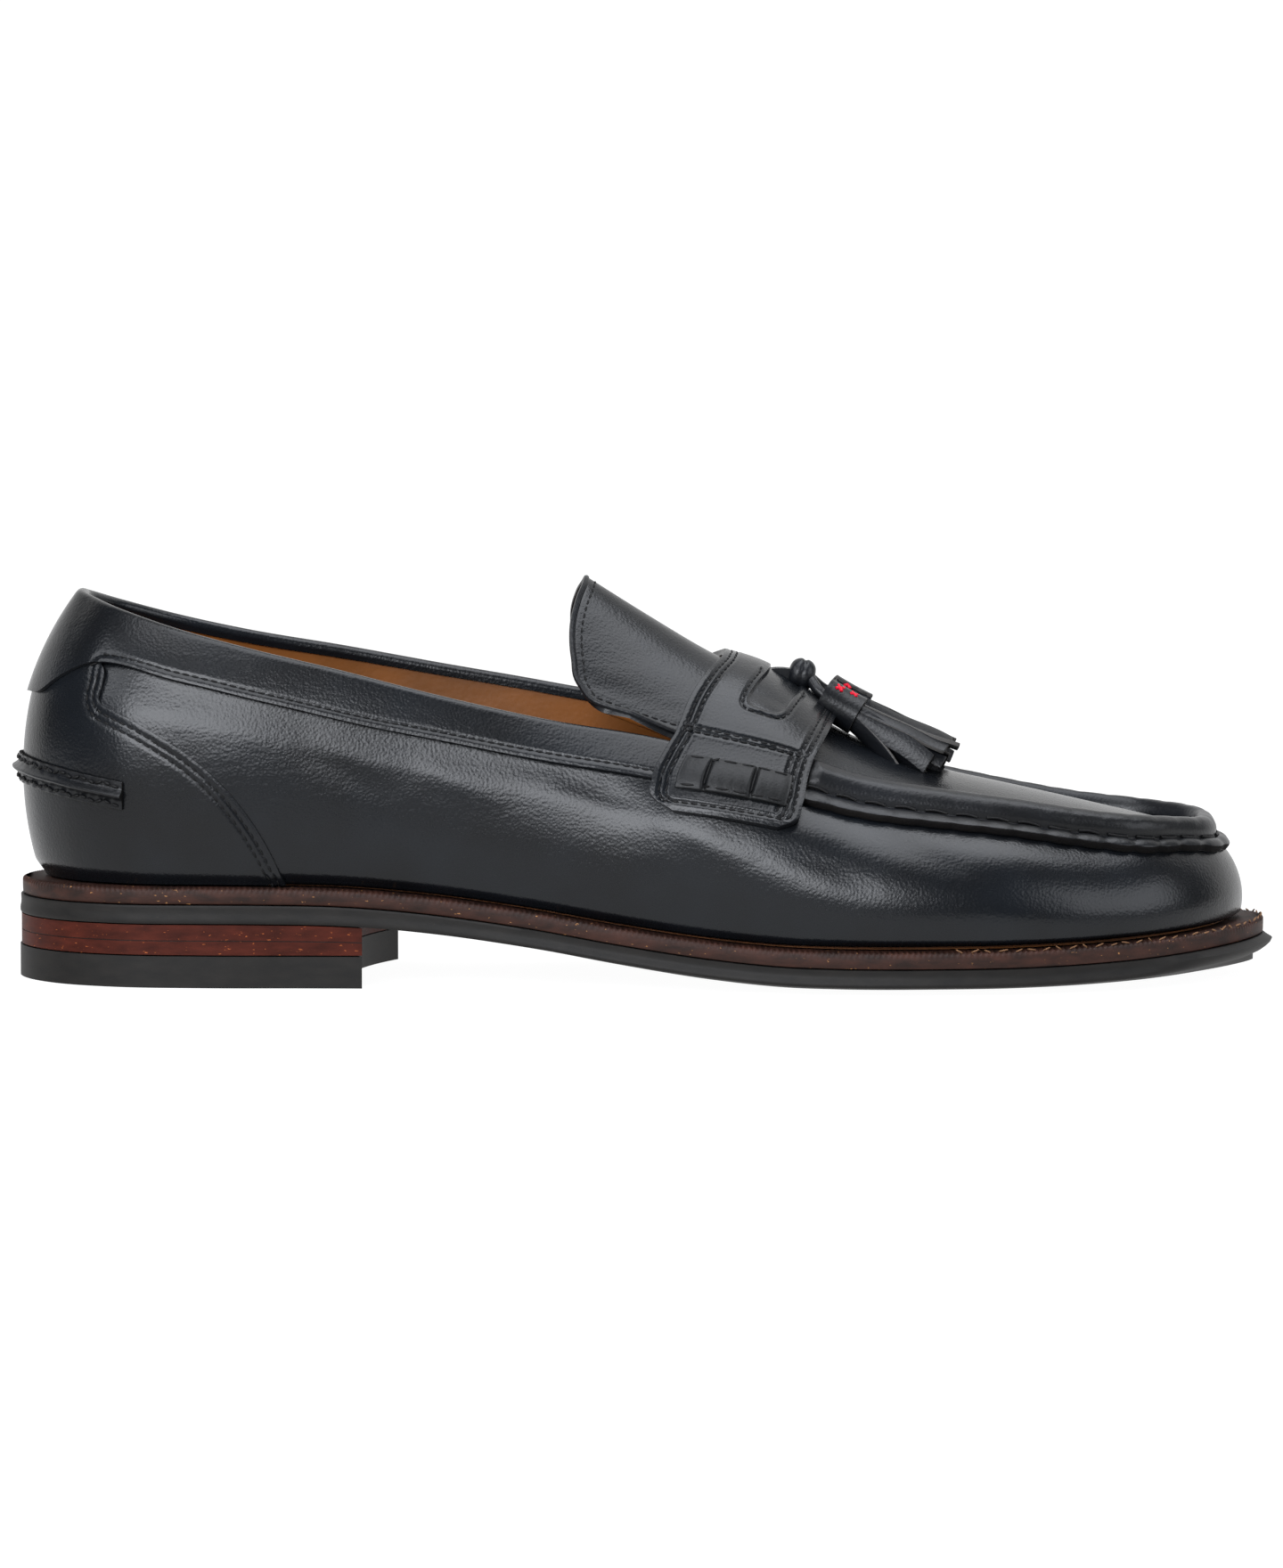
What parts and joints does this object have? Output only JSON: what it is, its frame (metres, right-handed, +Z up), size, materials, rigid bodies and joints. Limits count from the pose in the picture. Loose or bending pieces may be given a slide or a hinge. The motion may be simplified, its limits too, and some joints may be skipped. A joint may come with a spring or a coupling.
{
  "type": "tassel loafer",
  "caption": "Men's slip-on dress shoe, right foot: hollow leather upper with raised apron seam, saddle strap with knotted tassels, welted sole and stacked heel",
  "frame": {"origin": "on the floor, under the middle of the shoe's box", "axes": "+X toward the toe, +Y toward the medial side of this right shoe, +Z up from the floor that it stands on"},
  "size_m": [0.3016, 0.1034, 0.0949],
  "materials": {
    "black_leather": "polished black calf leather",
    "tan_leather": "tan lining leather",
    "brown_leatherboard": "brown leatherboard with tan specks",
    "red_brown_stack": "stained stacked leatherboard",
    "black_rubber": "matt black rubber"
  },
  "bodies": {
    "root": {"apron_seam": "black_leather", "back_strip": "black_leather", "collar_band_lateral": "black_leather", "collar_band_medial": "black_leather", "counter": "black_leather", "heel_patch": "black_leather", "heel_stack": "red_brown_stack", "heel_top_lift": "black_rubber", "insole": "tan_leather", "midsole": "brown_leatherboard", "outsole": "black_rubber", "saddle_strap": "black_leather", "strap_roll_lateral": "black_leather", "strap_roll_medial": "black_leather", "tassel_lateral": "black_leather", "tassel_medial": "black_leather", "thong_knot": "black_leather", "tongue": "black_leather", "upper": "black_leather"}
  },
  "joints": []
}
